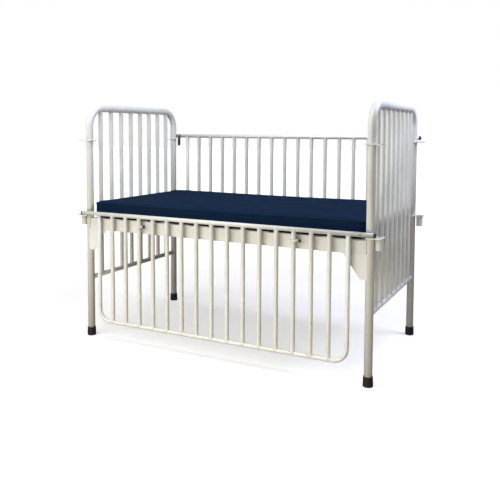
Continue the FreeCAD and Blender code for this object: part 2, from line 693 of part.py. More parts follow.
def mattress():
    """A pad of one thickness, rounded on all its edges."""
    name = "mattress"
    half_long = "(%s - %s - dims.mattress_gap)" % (HALF_SPAN, POST_R)
    half_wide = "(%s + dims.mattress_side)" % HALF_WIDTH
    corners = [("-" + half_long, "-" + half_wide), (half_long, "-" + half_wide),
               (half_long, half_wide), ("-" + half_long, half_wide)]
    low = "dims.deck_top + dims.slat_thick + dims.seat_gap"
    body = extrude(name, "XY", corners, low, "dims.mattress_thick")
    doc.recompute()
    edges = ["Edge%d" % (number + 1) for number in range(len(body.Shape.Edges))]
    round_edges(body, edges, "dims.mattress_round")
    node(body, name)


posts = {side: end_frame(side) for side in SIDES}
for row in ROWS:
    deck = deck_side_channel(row)
    for side in SIDES:
        foot_cap(row, side)
        gusset(row, side, posts[side], deck)
        rest_plate(row, side, posts[side])
        pole_socket(row, side)
        pole_ring(row, side, posts[side])
        rail_guide(row, side)
for side in SIDES:
    deck_end_channel(side)
deck_slats()
mattress()
side_rail("front", RAIL_LOW)
side_rail("back", RAIL_HIGH)

doc.recompute()
for thing in doc.Objects:
    if "Invalid" in thing.State or "Error" in thing.State:
        raise RuntimeError("%s failed: %s" % (thing.Name, thing.State))
for thing in nodes:
    if thing.Shape.isNull() or not thing.Shape.isValid() or not thing.Shape.Solids:
        raise RuntimeError("%s has no valid solid" % thing.Label)

os.makedirs("parts", exist_ok=True)
for thing in nodes:
    thing.Shape.exportStep("parts/%s.step" % thing.Label)
    box = thing.Shape.BoundBox
    print("%-28s %2d solids %12.1f mm3  x %.1f..%.1f  y %.1f..%.1f  z %.1f..%.1f" % (
        thing.Label, len(thing.Shape.Solids), thing.Shape.Volume,
        box.XMin, box.XMax, box.YMin, box.YMax, box.ZMin, box.ZMax))
print(len(nodes), "nodes")
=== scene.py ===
import json
import math

import bmesh
import bpy
import numpy as np
from mathutils import Matrix, Vector
from mathutils.bvhtree import BVHTree


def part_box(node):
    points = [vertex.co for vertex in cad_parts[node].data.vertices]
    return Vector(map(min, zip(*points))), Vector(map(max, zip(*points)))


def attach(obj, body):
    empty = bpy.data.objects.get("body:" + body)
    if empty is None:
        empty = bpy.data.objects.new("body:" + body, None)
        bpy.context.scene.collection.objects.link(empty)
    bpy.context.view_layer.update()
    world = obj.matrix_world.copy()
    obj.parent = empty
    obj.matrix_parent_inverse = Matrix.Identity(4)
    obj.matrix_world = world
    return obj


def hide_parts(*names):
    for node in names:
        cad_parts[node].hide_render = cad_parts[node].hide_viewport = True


# A children's hospital cot: ivory powder-coated tube, a navy wipe-clean mattress and black rubber feet.
# Lengths are in metres. X runs along the cot, Y from the front rail to the back rail, Z up.

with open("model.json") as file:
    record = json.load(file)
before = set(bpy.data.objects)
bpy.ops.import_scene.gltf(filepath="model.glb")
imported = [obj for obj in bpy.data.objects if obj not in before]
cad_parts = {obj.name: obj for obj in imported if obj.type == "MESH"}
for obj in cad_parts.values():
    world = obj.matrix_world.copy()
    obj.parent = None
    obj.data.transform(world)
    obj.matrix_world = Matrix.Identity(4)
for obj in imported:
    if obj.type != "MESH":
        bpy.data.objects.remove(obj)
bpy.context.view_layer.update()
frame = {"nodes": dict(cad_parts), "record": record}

MM = 0.001
TINY = 1e-9
SIDES = {"left": -1, "right": 1}
ROWS = {"front": -1, "back": 1}


def middle(node):
    low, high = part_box(node)
    return (low + high) / 2


def extent(node):
    low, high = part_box(node)
    return high - low


# End frames, as the frame gives them
POST_X = middle("right_end_hoop").x
HOOP_LOW, HOOP_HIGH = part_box("right_end_hoop")
POST_R = (HOOP_HIGH.x - HOOP_LOW.x) / 2
POST_Y = HOOP_HIGH.y - POST_R
HOOP_TOP = HOOP_HIGH.z - POST_R
HOOP_BEND = 90 * MM
CROSS_Z = middle("right_end_crossbar").z
CROSS_R = extent("right_end_crossbar").x / 2
END_BARS = 8
END_PITCH = 2 * POST_Y / (END_BARS + 1)
END_BAR_R = extent("left_end_bars").x / 2

# Side rails: a top tube, and a U tube whose bottom run hangs by the drop below it
RAIL_R = extent("front_rail_top_tube").y / 2
BAR_R = extent("front_rail_u_tube").y / 2
RAIL_BARS = 15
RAIL_HALF = extent("front_rail_u_tube").x / 2 - BAR_R
RAIL_PITCH = 2 * RAIL_HALF / (RAIL_BARS + 1)
RAIL_DROP = middle("front_rail_top_tube").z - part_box("front_rail_u_tube")[0].z - BAR_R
RAIL_BEND = 58 * MM

# Deck and rail guides. The right guide's box starts at its plate, and its boss is at the far end.
APRON_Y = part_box("back_deck_channel")[1].y
GUIDE_BAR = 5  # the bar that a guide holds, counted from the middle of the rail
GUIDE_HALF = GUIDE_BAR * RAIL_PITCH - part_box("rail_guide_front_right")[0].x
GUIDE_THICK = 7 * MM

# Weld beads
BEAD_R = 1.7 * MM
BEAD_RIPPLE = 3.0 * MM  # from one ripple to the next
RIPPLE_POINTS = 3
RIPPLE_HEIGHT = 0.10  # share of the bead's radius
RIPPLE_START = 0.4
BEAD_TIP = 0.45  # share of the radius that is left at an open end
SEAM_SWELL = 0.35 * BEAD_R  # from a tube's skin to the middle of a bead on it
PLATE_LIFT = 0.3 * BEAD_R  # from a plate's face to the middle of a bead on it
CATCH_ROOM = 0.6 * MM  # how far a bead may stand out past the top tube where the catch swings
PLATE_INNER = POST_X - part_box("rest_plate_front_right")[0].x  # inwards, from the post's middle to the edge
PLATE_BEAD_STOP = 6  # degrees from that edge to the end of the bead
RING_BEAD_R = 1.3 * MM
GUSSET_FOOT, GUSSET_HEAD = 2 * MM, 4 * MM  # left bare at a gusset's foot and head
STITCH_STARTS, STITCH_LENGTH = (0.10, 0.55), 0.28  # shares of the gusset's width
STITCH_OUT, STITCH_UP, STITCH_R = 0.8 * MM, 0.2 * MM, 1.2 * MM
GUIDE_LIFT, GUIDE_BEAD_STOP, GUIDE_BEAD_R = 0.4 * MM, 1 * MM, 1.4 * MM

# Mattress
COVER_INSET_X, COVER_INSET_Y, COVER_INSET_Z = 1.5 * MM, 3 * MM, 3 * MM  # before it is blown out
COVER_CORNER = 34 * MM
COVER_EDGE = 15 * MM
COVER_CELL = 10 * MM
COVER_REACH = 6 * MM  # how far any point may move
COVER_SWELL_X, COVER_SWELL_Y = 1 * MM, 2 * MM  # how far the sides may move out
PINNED = 1 * MM  # the height that is held at the foot
CLOTH_STEPS = 20
CORD_ABOVE_FOOT, CORD_BELOW_TOP = 15 * MM, 17 * MM
CORD_R = 1.5 * MM
CORD_SINK = 0.4 * MM
CORD_STEP = 6 * MM

# Facets round a section, and steps along a curve
POST_FACETS = 48
TUBE_FACETS = 32
BAR_FACETS = 28
BEAD_FACETS = 8
CORD_FACETS = 10
BEND_STEPS = 18
SEAM_STEPS = 72
ARC_STEPS = 54
CORNER_STEPS = 12

# Studio
FLOOR_HALF = 30.0
FLOOR_GLOSS = 0.10  # share of the sheen
FLOOR_LIFT = 0.46  # glow near the cot, seen by the camera alone, so that the shadow stays
GLOW_NEAR, GLOW_FAR = 1.4, 3.4  # distances between which that glow rises to 1
FLOOR_SEEN, FLOOR_BOUNCE, FLOOR_SHEEN = "#EEECE6", "#7E7468", "#F4F5F7"
ROOM_COLOUR = "#F1F3F6"
OPEN_FRONT = (-0.2, -0.98, 0.0)  # towards the bright side of the room
FRONT_LIGHT, BACK_LIGHT = 0.60, 0.12
WHITE = (1, 1, 1, 1)
SOFTBOXES = {
    # place, what it is aimed at, width and height, watts, colour
    "key_front_left": ((-0.7, -2.2, 1.7), (-0.1, -0.1, 0.45), (1.0, 1.4), 10, "#F4F7FF"),
    "far_front_left": ((-3.0, -3.8, 2.2), (0.0, 0.0, 0.4), (1.8, 1.6), 66, "#F0F4FF"),
    "cool_fill_above_right": ((1.5, 0.4, 2.0), (0.6, -0.05, 0.9), (0.7, 0.7), 32, "#D2D8FF"),
    "low_fill_right": ((2.6, 0.9, 1.5), (0.7, 0.0, 0.95), (1.0, 0.9), 4, "#DADFFF"),
    "high_front": ((-0.2, -0.9, 2.5), (-0.2, 0.4, 0.95), (1.4, 0.8), 26, "#F4F6FF"),
    "warm_low_front": ((-0.1, -1.3, 0.10), (-0.1, -0.37, 0.12), (2.6, 0.14), 8, "#FFF4E2"),
}
EYE = (1.38327, -2.77506, 1.00847)
EYE_YAW, EYE_PITCH, EYE_ROLL = 26.629, 3.846, 0.286
LENS, SENSOR = 45.755, 36
LENS_SHIFT_X, LENS_SHIFT_Y = -0.0012, -0.1524
FAR_CLIP = 100


# Shader building

def linear(hex_colour):
    """An sRGB hex colour as Blender's linear RGBA."""
    parts = [int(hex_colour[i:i + 2], 16) / 255 for i in (1, 3, 5)]
    return [c / 12.92 if c <= 0.04045 else ((c + 0.055) / 1.055) ** 2.4 for c in parts] + [1.0]


def add_node(tree, kind, settings=None, take=None, **sockets):
    """Adds a node, sets its properties, and fills or links its inputs by name (spaces as underscores) or
    by number (input0, input1). Hands back the output that take names, or else the node."""
    made = tree.nodes.new(kind)
    for key, item in (settings or {}).items():
        setattr(made, key, item)
    for key, item in sockets.items():
        place = int(key.removeprefix("input")) if key.startswith("input") else key.replace("_", " ")
        if isinstance(item, bpy.types.NodeSocket):
            tree.links.new(item, made.inputs[place])
        else:
            made.inputs[place].default_value = item
    return made if take is None else made.outputs[take]


def new_material(name, surface):
    """A material. Its surface is made from the node tree and the object's own coordinates."""
    material = bpy.data.materials.new(name)
    material.use_nodes = True
    tree = material.node_tree
    tree.nodes.clear()
    where = add_node(tree, "ShaderNodeTexCoord", take="Object")
    add_node(tree, "ShaderNodeOutputMaterial", Surface=surface(tree, where))
    return material


# A Mix node of colours takes its share as input 0 and the colours as 6 and 7, and gives output 2.
OF_COLOURS = {"data_type": "RGBA"}


def powder_coat(tree, where):
    """Polyester powder coat baked on steel tube: a satin ivory skin with a fine orange peel, a nearly
    even colour, and a little dust with painted shade in the crevices by the welds, darkened by ambient
    occlusion."""
    cloud = add_node(tree, "ShaderNodeTexNoise", take="Fac", Vector=where, Scale=1 / (160 * MM), Detail=3)
    tone = add_node(tree, "ShaderNodeMapRange", take="Result", Value=cloud, From_Min=0.35, From_Max=0.65)
    paint = add_node(tree, "ShaderNodeMix", OF_COLOURS, take=2, input0=tone,
                     input6=linear("#DBDACE"), input7=linear("#E3E3D9"))
    # Dust and painted shade: ambient occlusion finds crevices within 14 mm, by welds and joints, and darkens
    # the paint there towards #8E8370.
    crevice = add_node(tree, "ShaderNodeAmbientOcclusion", {"samples": 6}, take="AO", Distance=14 * MM)
    dust_and_painted_shade = add_node(tree, "ShaderNodeMapRange", take="Result", Value=crevice, From_Min=0.15,
                     From_Max=0.75, To_Min=0.55, To_Max=0)
    paint_with_dust_and_shade = add_node(tree, "ShaderNodeMix", OF_COLOURS, take=2, input0=dust_and_painted_shade, input6=paint,
                      input7=linear("#8E8370"))
    peel = add_node(tree, "ShaderNodeTexNoise", take="Fac", Vector=where, Scale=1 / (2.2 * MM), Detail=1)
    relief = add_node(tree, "ShaderNodeBump", take="Normal", Strength=0.22, Distance=0.09 * MM,
                      Height=peel)
    flow = add_node(tree, "ShaderNodeTexNoise", take="Fac", Vector=where, Scale=1 / (45 * MM), Detail=4)
    rough = add_node(tree, "ShaderNodeMapRange", take="Result", Value=flow, From_Min=0.3, From_Max=0.7,
                     To_Min=0.30, To_Max=0.40)
    return add_node(tree, "ShaderNodeBsdfPrincipled", take="BSDF", Base_Color=paint_with_dust_and_shade, Roughness=rough,
                    IOR=1.5, Specular_IOR_Level=0.42, Normal=relief)


def foot_rubber(tree, where):
    """Moulded black rubber: dull, finely pitted, scuffed and dusty just above the floor."""
    height = add_node(tree, "ShaderNodeSeparateXYZ", take="Z", Vector=where)
    low = add_node(tree, "ShaderNodeMapRange", take="Result", Value=height, From_Max=11 * MM,
                   To_Min=1, To_Max=0)
    cloud = add_node(tree, "ShaderNodeTexNoise", take="Fac", Vector=where, Scale=1 / (7 * MM), Detail=4)
    scuff = add_node(tree, "ShaderNodeMapRange", take="Result", Value=cloud, From_Min=0.40, From_Max=0.62)
    dust = add_node(tree, "ShaderNodeMath", {"operation": "MULTIPLY"}, take=0, input0=low, input1=scuff)
    colour = add_node(tree, "ShaderNodeMix", OF_COLOURS, take=2, input0=dust,
                      input6=linear("#161615"), input7=linear("#4A463F"))
    pits = add_node(tree, "ShaderNodeTexNoise", take="Fac", Vector=where, Scale=1 / (0.9 * MM), Detail=2)
    relief = add_node(tree, "ShaderNodeBump", take="Normal", Strength=0.35, Distance=0.1 * MM,
                      Height=pits)
    rough = add_node(tree, "ShaderNodeMapRange", take="Result", Value=scuff, To_Min=0.52, To_Max=0.74)
    return add_node(tree, "ShaderNodeBsdfPrincipled", take="BSDF", Base_Color=colour, Roughness=rough,
                    IOR=1.52, Specular_IOR_Level=0.35, Normal=relief)


def moulded_nylon(tree, where):
    """Injection-moulded black nylon: end plugs and knobs, with a spark-eroded texture and soft gloss."""
    cloud = add_node(tree, "ShaderNodeTexNoise", take="Fac", Vector=where, Scale=1 / (6 * MM), Detail=3)
    handled = add_node(tree, "ShaderNodeMapRange", take="Result", Value=cloud, From_Min=0.35,
                       From_Max=0.65)
    colour = add_node(tree, "ShaderNodeMix", OF_COLOURS, take=2, input0=handled,
                      input6=linear("#131313"), input7=linear("#222120"))
    sparked = add_node(tree, "ShaderNodeTexNoise", take="Fac", Vector=where, Scale=1 / (0.7 * MM),
                       Detail=1)
    relief = add_node(tree, "ShaderNodeBump", take="Normal", Strength=0.2, Distance=0.06 * MM,
                      Height=sparked)
    rough = add_node(tree, "ShaderNodeMapRange", take="Result", Value=handled, To_Min=0.34, To_Max=0.5)
    return add_node(tree, "ShaderNodeBsdfPrincipled", take="BSDF", Base_Color=colour, Roughness=rough,
                    IOR=1.53, Normal=relief)


def black_enamel(tree, where):
    """Black enamelled steel plate: satin, with the bare steel just showing on edges that rub."""
    rounded = add_node(tree, "ShaderNodeBevel", {"samples": 4}, take="Normal", Radius=0.7 * MM)
    flat = add_node(tree, "ShaderNodeNewGeometry", take="Normal")
    turn = add_node(tree, "ShaderNodeVectorMath", {"operation": "DOT_PRODUCT"}, take="Value",
                    input0=rounded, input1=flat)
    edge = add_node(tree, "ShaderNodeMapRange", take="Result", Value=turn, From_Min=0.99, From_Max=0.90)
    cloud = add_node(tree, "ShaderNodeTexNoise", take="Fac", Vector=where, Scale=1 / (2.5 * MM), Detail=4)
    chips = add_node(tree, "ShaderNodeMapRange", take="Result", Value=cloud, From_Min=0.50, From_Max=0.60)
    worn = add_node(tree, "ShaderNodeMath", {"operation": "MULTIPLY"}, take=0, input0=edge, input1=chips)
    colour = add_node(tree, "ShaderNodeMix", OF_COLOURS, take=2, input0=worn,
                      input6=linear("#1A1A1B"), input7=linear("#8C8983"))
    return add_node(tree, "ShaderNodeBsdfPrincipled", take="BSDF", Base_Color=colour, Metallic=worn,
                    Roughness=0.42)


def zinc_plate(tree, where):
    """Bright zinc plate on turned steel: a cool grey metal with fine tool marks and a faint bloom."""
    cloud = add_node(tree, "ShaderNodeTexNoise", take="Fac", Vector=where, Scale=1 / (4 * MM), Detail=3)
    bloom = add_node(tree, "ShaderNodeMapRange", take="Result", Value=cloud, From_Min=0.35, From_Max=0.7)
    colour = add_node(tree, "ShaderNodeMix", OF_COLOURS, take=2, input0=bloom,
                      input6=linear("#B9B8B3"), input7=linear("#A7A69C"))
    marks = add_node(tree, "ShaderNodeTexNoise", take="Fac", Vector=where, Scale=1 / (0.35 * MM),
                     Detail=1)
    relief = add_node(tree, "ShaderNodeBump", take="Normal", Strength=0.15, Distance=0.05 * MM,
                      Height=marks)
    rough = add_node(tree, "ShaderNodeMapRange", take="Result", Value=bloom, To_Min=0.28, To_Max=0.42)
    return add_node(tree, "ShaderNodeBsdfPrincipled", take="BSDF", Base_Color=colour, Metallic=1,
                    Roughness=rough, Normal=relief)


def coated_ticking(tree, where):
    """Polyurethane-coated polyester ticking: matte navy with a faint woven emboss, slow creases, and
    patches that are a little lighter and duller."""
    # The real weave is 0.4 mm. It is drawn as bands about 10 mm apart, so that it shows: 1.6 mm for each
    # radian of the wave, which turns 20 radians in one unit of its scale.
    radian, wave_turn = 1.6 * MM, 20
    warp, weft = (add_node(tree, "ShaderNodeTexWave", {"wave_type": "BANDS", "bands_direction": way},
                           take="Fac", Vector=where, Scale=1 / (wave_turn * radian), Distortion=0.4,
                           Detail=1, Detail_Scale=2) for way in "XY")
    weave = add_node(tree, "ShaderNodeMath", {"operation": "MULTIPLY"}, take=0, input0=warp, input1=weft)
    cloud = add_node(tree, "ShaderNodeTexNoise", take="Fac", Vector=where, Scale=1 / (90 * MM), Detail=4,
                     Roughness=0.6)
    patch = add_node(tree, "ShaderNodeMapRange", take="Result", Value=cloud, From_Min=0.35, From_Max=0.65)
    cloth = add_node(tree, "ShaderNodeMix", OF_COLOURS, take=2, input0=patch,
                     input6=linear("#112236"), input7=linear("#15273B"))
    raised = add_node(tree, "ShaderNodeMapRange", take="Result", Value=weave, To_Min=0, To_Max=0.35)
    woven = add_node(tree, "ShaderNodeMix", OF_COLOURS, take=2, input0=raised, input6=cloth,
                     input7=linear("#0D1F3E"))
    crease = add_node(tree, "ShaderNodeTexNoise", take="Fac", Vector=where, Scale=1 / (38 * MM), Detail=3,
                      Roughness=0.55)
    creased = add_node(tree, "ShaderNodeBump", take="Normal", Strength=0.25, Distance=1.2 * MM,
                       Height=crease)
    relief = add_node(tree, "ShaderNodeBump", take="Normal", Strength=0.25, Distance=0.12 * MM,
                      Height=weave, Normal=creased)
    rough = add_node(tree, "ShaderNodeMapRange", take="Result", Value=patch, To_Min=0.56, To_Max=0.68)
    return add_node(tree, "ShaderNodeBsdfPrincipled", take="BSDF", Base_Color=woven, Roughness=rough,
                    IOR=1.45, Specular_IOR_Level=0.012, Normal=relief)


FINISHES = {
    "ivory_paint": new_material("polyester_powder_coat_ivory", powder_coat),
    "black_rubber": new_material("moulded_black_rubber", foot_rubber),
    "black_plastic": new_material("moulded_black_nylon", moulded_nylon),
    "black_steel": new_material("black_enamelled_steel", black_enamel),
    "zinc_steel": new_material("zinc_plated_steel", zinc_plate),
    "mattress_cover": new_material("polyurethane_coated_ticking_navy", coated_ticking),
}

for entry in frame["record"]["subparts"]:
    coats = frame["nodes"][entry["node"]].data.materials
    coats.clear()
    coats.append(FINISHES[entry["material_slot"]])


# Mesh building

class Form:
    """Collects closed rounded forms for one piece."""

    def __init__(self):
        self.points = []
        self.faces = []

    def rings(self, rings, closed):
        """Joins rings of points into a skin: a closed loop, or a run with capped ends."""
        count, first = len(rings[0]), len(self.points)
        for ring in rings:
            self.points.extend(ring)
        spans = len(rings) if closed else len(rings) - 1
        for i in range(spans):
            near, far = first + i * count, first + (i + 1) % len(rings) * count
            for j in range(count):
                k = (j + 1) % count
                self.faces.append((near + j, near + k, far + k, far + j))
        if not closed:
            last = first + (len(rings) - 1) * count
            self.faces.append(tuple(first + j for j in reversed(range(count))))
            self.faces.append(tuple(last + j for j in range(count)))

    def tube(self, path, radius, facets, closed=False):
        """Sweeps a circle along a path. The radius is a number or one number for each point."""
        path = [Vector(p) for p in path]
        radii = radius if isinstance(radius, list) else [radius] * len(path)
        turns = [2 * math.pi * j / facets for j in range(facets)]
        across = None
        rings = []
        for i, point in enumerate(path):
            before = path[i - 1] if closed or i > 0 else path[0]
            after = path[(i + 1) % len(path)] if closed or i < len(path) - 1 else path[-1]
            along = (after - before).normalized()
            if across is None:
                across = along.orthogonal().normalized()
            across = (across - along * across.dot(along)).normalized()
            other = along.cross(across)
            spokes = [math.cos(a) * across + math.sin(a) * other for a in turns]
            rings.append([point + radii[i] * spoke for spoke in spokes])
        self.rings(rings, closed)

    def bead(self, path, radius=BEAD_R, closed=False):
        """A weld bead with the ripples that the wire leaves."""
        path = resample([Vector(p) for p in path], BEAD_RIPPLE / RIPPLE_POINTS, closed)
        turns = [2 * math.pi * i / RIPPLE_POINTS + RIPPLE_START for i in range(len(path))]
        radii = [radius * (1 + RIPPLE_HEIGHT * math.sin(a)) for a in turns]
        if not closed:
            radii[0] = radii[-1] = radius * BEAD_TIP
        self.tube(path, radii, BEAD_FACETS, closed)

    def mesh(self, name):
        mesh = bpy.data.meshes.new(name)
        mesh.from_pydata([tuple(p) for p in self.points], [], self.faces)
        mesh.validate()
        outward(mesh)
        return mesh

    def piece(self, name, body, slot, replaces=None):
        put(self.mesh(name), name, body, slot, replaces)


def outward(mesh):
    """Turns every face of a closed mesh outwards."""
    shape = bmesh.new()
    shape.from_mesh(mesh)
    bmesh.ops.recalc_face_normals(shape, faces=shape.faces)
    shape.to_mesh(mesh)
    shape.free()


def show(name, data):
    obj = bpy.data.objects.new(name, data)
    bpy.context.scene.collection.objects.link(obj)
    return obj


def applied(obj, name):
    """The object's mesh with its modifiers applied. The object itself goes."""
    seen = bpy.context.evaluated_depsgraph_get()
    mesh = bpy.data.meshes.new_from_object(obj.evaluated_get(seen), depsgraph=seen)
    mesh.name = name
    bpy.data.objects.remove(obj)
    return mesh


def put(mesh, name, body, slot, replaces=None):
    """Shows a mesh as a piece of the cot that rides on a body, and may replace a node. Tubes are smooth
    and their flat end caps aren't."""
    obj = show(name, mesh)
    mesh.materials.clear()
    mesh.materials.append(FINISHES[slot])
    for face in mesh.polygons:
        face.use_smooth = len(face.vertices) <= 4
    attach(obj, body)
    if replaces:
        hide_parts(replaces)
    return obj


def resample(path, step, closed):
    """The same path with points about a step apart, in whole ripples."""
    loop = path + [path[0]] if closed else path
    lengths = [0.0]
    for start, end in zip(loop, loop[1:]):
        lengths.append(lengths[-1] + (end - start).length)
    count = RIPPLE_POINTS * max(1, round(lengths[-1] / step / RIPPLE_POINTS))
    points, span = [], 0
    for i in range(count if closed else count + 1):
        at = lengths[-1] * i / count
        while span < len(loop) - 2 and lengths[span + 1] < at:
            span += 1
        share = (at - lengths[span]) / max(lengths[span + 1] - lengths[span], TINY)
        points.append(loop[span].lerp(loop[span + 1], min(share, 1.0)))
    return points


def u_path(half, open_end, closed_end, bend):
    """A flat U as (across, up) points: a leg, a bend, the run at the closed end, a bend and a leg."""
    way = 1 if closed_end > open_end else -1
    left = []
    for i in range(BEND_STEPS + 1):
        a = math.pi / 2 * i / BEND_STEPS
        left.append((-half + bend * (1 - math.cos(a)), closed_end - way * bend * (1 - math.sin(a))))
    right = [(-u, v) for u, v in reversed(left)]
    return [(-half, open_end)] + left + right + [(half, open_end)]


def saddle(branch_r, main_r, main_axis, up):
    """The seam where a branch tube along Z meets a main tube: a loop about the branch's axis, with
    heights from the main tube's centre. It stands off both tubes a little."""
    branch_r, main_r = branch_r + SEAM_SWELL, main_r + SEAM_SWELL
    seam = []
    for i in range(SEAM_STEPS):
        a = 2 * math.pi * i / SEAM_STEPS
        x, y = branch_r * math.cos(a), branch_r * math.sin(a)
        off = y if main_axis == "x" else x
        seam.append(Vector((x, y, up * math.sqrt(max(main_r ** 2 - off ** 2, 0.0)))))
    return seam


def ground_flush(seam, inward, limit):
    """A closed seam without its inner arc, where the weld is ground flush for the catch to swing past."""
    keeps = [inward * p.y <= limit for p in seam]
    first = next(i for i in range(len(seam)) if keeps[i] and not keeps[i - 1])
    return [seam[(first + i) % len(seam)] for i in range(sum(keeps))]


def level_arc(centre, radius, start, end, steps):
    """Points on a level arc from one angle to another, in degrees."""
    turns = [math.radians(start + (end - start) * i / steps) for i in range(steps + 1)]
    return [Vector(centre) + Vector((radius * math.cos(a), radius * math.sin(a), 0)) for a in turns]


def level_ring(centre, radius):
    """A level circle, without the last point, which is its first."""
    return level_arc(centre, radius, 0, 360, SEAM_STEPS)[:-1]


# Upright bars, one rank for each end frame and side rail

def bar_rank_tree():
    """A rank of equal upright tubes with a weld bead at the foot and the head of each."""
    tree = bpy.data.node_groups.new("upright_bars", "GeometryNodeTree")
    tree.interface.new_socket("Geometry", in_out="OUTPUT", socket_type="NodeSocketGeometry")
    kinds = {"First": "Vector", "Pitch": "Vector", "Count": "Int", "Height": "Float", "Radius": "Float",
             "Foot weld": "Object", "Head weld": "Object", "Finish": "Material"}
    for name, kind in kinds.items():
        tree.interface.new_socket(name, in_out="INPUT", socket_type="NodeSocket" + kind)
    given = add_node(tree, "NodeGroupInput").outputs
    top = add_node(tree, "ShaderNodeCombineXYZ", take=0, Z=given["Height"])
    line = add_node(tree, "GeometryNodeCurvePrimitiveLine", take="Curve", Start=(0, 0, 0), End=top)
    section = add_node(tree, "GeometryNodeCurvePrimitiveCircle", take="Curve", Resolution=BAR_FACETS,
                       Radius=given["Radius"])
    bar = add_node(tree, "GeometryNodeCurveToMesh", take="Mesh", Curve=line, Profile_Curve=section,
                   Fill_Caps=True)
    foot, head = (add_node(tree, "GeometryNodeObjectInfo", {"transform_space": "ORIGINAL"},
                           take="Geometry", Object=given[weld]) for weld in ("Foot weld", "Head weld"))
    raised = add_node(tree, "GeometryNodeTransform", take="Geometry", Geometry=head, Translation=top)
    one = add_node(tree, "GeometryNodeJoinGeometry")
    for part in (bar, foot, raised):
        tree.links.new(part, one.inputs["Geometry"])
    places = add_node(tree, "GeometryNodeMeshLine", {"mode": "OFFSET"}, take="Mesh",
                      Count=given["Count"], Start_Location=given["First"], Offset=given["Pitch"])
    rank = add_node(tree, "GeometryNodeInstanceOnPoints", take="Instances", Points=places,
                    Instance=one.outputs["Geometry"])
    real = add_node(tree, "GeometryNodeRealizeInstances", take="Geometry", Geometry=rank)
    painted = add_node(tree, "GeometryNodeSetMaterial", take="Geometry", Geometry=real,
                       Material=given["Finish"])
    add_node(tree, "NodeGroupOutput", Geometry=painted)
    return tree


BAR_RANK = bar_rank_tree()


def bar_rank(name, body, node, first, pitch, count, height, bar_r, lower_r, upper_r, main_axis):
    """Bars from the middle of a lower tube to the middle of an upper tube."""
    foot, head = Form(), Form()
    foot.bead(saddle(bar_r, lower_r, main_axis, 1), closed=True)
    head.bead(saddle(bar_r, upper_r, main_axis, -1), closed=True)
    welds = [show(label, form.mesh(label)) for label, form in (("foot_weld", foot), ("head_weld", head))]
    given = {"First": first, "Pitch": pitch, "Count": count, "Height": height, "Radius": bar_r,
             "Foot weld": welds[0], "Head weld": welds[1], "Finish": FINISHES["ivory_paint"]}
    maker = show(name + "_maker", bpy.data.meshes.new(name + "_maker"))
    rank = maker.modifiers.new("bars", "NODES")
    rank.node_group = BAR_RANK
    for item in BAR_RANK.interface.items_tree:
        if item.in_out == "INPUT":
            rank[item.identifier] = given[item.name]
    maker.update_tag()
    mesh = applied(maker, name)
    for weld in welds:
        bpy.data.objects.remove(weld)
    outward(mesh)
    put(mesh, name, body, "ivory_paint", node)


# End frames

def end_frame(side):
    x = SIDES[side] * POST_X
    hoop = Form()
    arch = u_path(POST_Y, HOOP_LOW.z, HOOP_TOP, HOOP_BEND)
    hoop.tube([(x, y, z) for y, z in arch], POST_R, POST_FACETS)
    hoop.piece("dressed_%s_hoop" % side, "frame", "ivory_paint", side + "_end_hoop")

    crossbar = Form()
    crossbar.tube([(x, -POST_Y, CROSS_Z), (x, POST_Y, CROSS_Z)], CROSS_R, TUBE_FACETS)
    crossbar.piece("dressed_%s_crossbar" % side, "frame", "ivory_paint", side + "_end_crossbar")

    bar_rank("dressed_%s_end_bars" % side, "frame", side + "_end_bars",
             first=(x, -END_PITCH * (END_BARS - 1) / 2, CROSS_Z), pitch=(0, END_PITCH, 0), count=END_BARS,
             height=HOOP_TOP - CROSS_Z, bar_r=END_BAR_R, lower_r=CROSS_R, upper_r=POST_R, main_axis="y")

    welds = Form()
    seam = saddle(CROSS_R, POST_R, "x", 1)
    for way in (-1, 1):
        welds.bead([(x + p.y, way * (POST_Y - p.z), CROSS_Z + p.x) for p in seam], closed=True)
    welds.piece("welds_%s_crossbar" % side, "frame", "ivory_paint")


# Side rails

def side_rail(row):
    body = row + "_rail"
    low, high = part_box(row + "_rail_top_tube")
    y, top = (low.y + high.y) / 2, (low.z + high.z) / 2
    bottom = top - RAIL_DROP
    tube = Form()
    tube.tube([(low.x, y, top), (high.x, y, top)], RAIL_R, TUBE_FACETS)
    tube.piece("dressed_%s_top_tube" % row, body, "ivory_paint", row + "_rail_top_tube")

    legs = Form()
    legs.tube([(x, y, z) for x, z in u_path(RAIL_HALF, top, bottom, RAIL_BEND)], BAR_R, BAR_FACETS)
    legs.piece("dressed_%s_u_tube" % row, body, "ivory_paint", row + "_rail_u_tube")

    bar_rank("dressed_%s_rail_bars" % row, body, row + "_rail_bars",
             first=(-RAIL_PITCH * (RAIL_BARS - 1) / 2, y, bottom), pitch=(RAIL_PITCH, 0, 0),
             count=RAIL_BARS, height=RAIL_DROP, bar_r=BAR_R, lower_r=BAR_R, upper_r=RAIL_R, main_axis="x")

    welds = Form()
    seam = ground_flush(saddle(BAR_R, RAIL_R, "x", -1), -ROWS[row], RAIL_R + CATCH_ROOM - BEAD_R)
    for way in (-1, 1):
        welds.bead([p + Vector((way * RAIL_HALF, y, top)) for p in seam])
    welds.piece("welds_%s_u_legs" % row, body, "ivory_paint")


# Welds of one corner of the fixed frame

def post_at(row, side, z):
    return Vector((SIDES[side] * POST_X, ROWS[row] * POST_Y, z))


def rest_plate_welds(welds, row, side):
    """Beads under and over the lower plate, round the part of the post that it hugs."""
    low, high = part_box("rest_plate_%s_%s" % (row, side))
    outwards = 0 if side == "right" else 180
    reach = math.degrees(math.acos(-PLATE_INNER / POST_R)) - PLATE_BEAD_STOP
    for z in (low.z - PLATE_LIFT, high.z + PLATE_LIFT):
        welds.bead(level_arc(post_at(row, side, z), POST_R + SEAM_SWELL, outwards - reach,
                             outwards + reach, ARC_STEPS))


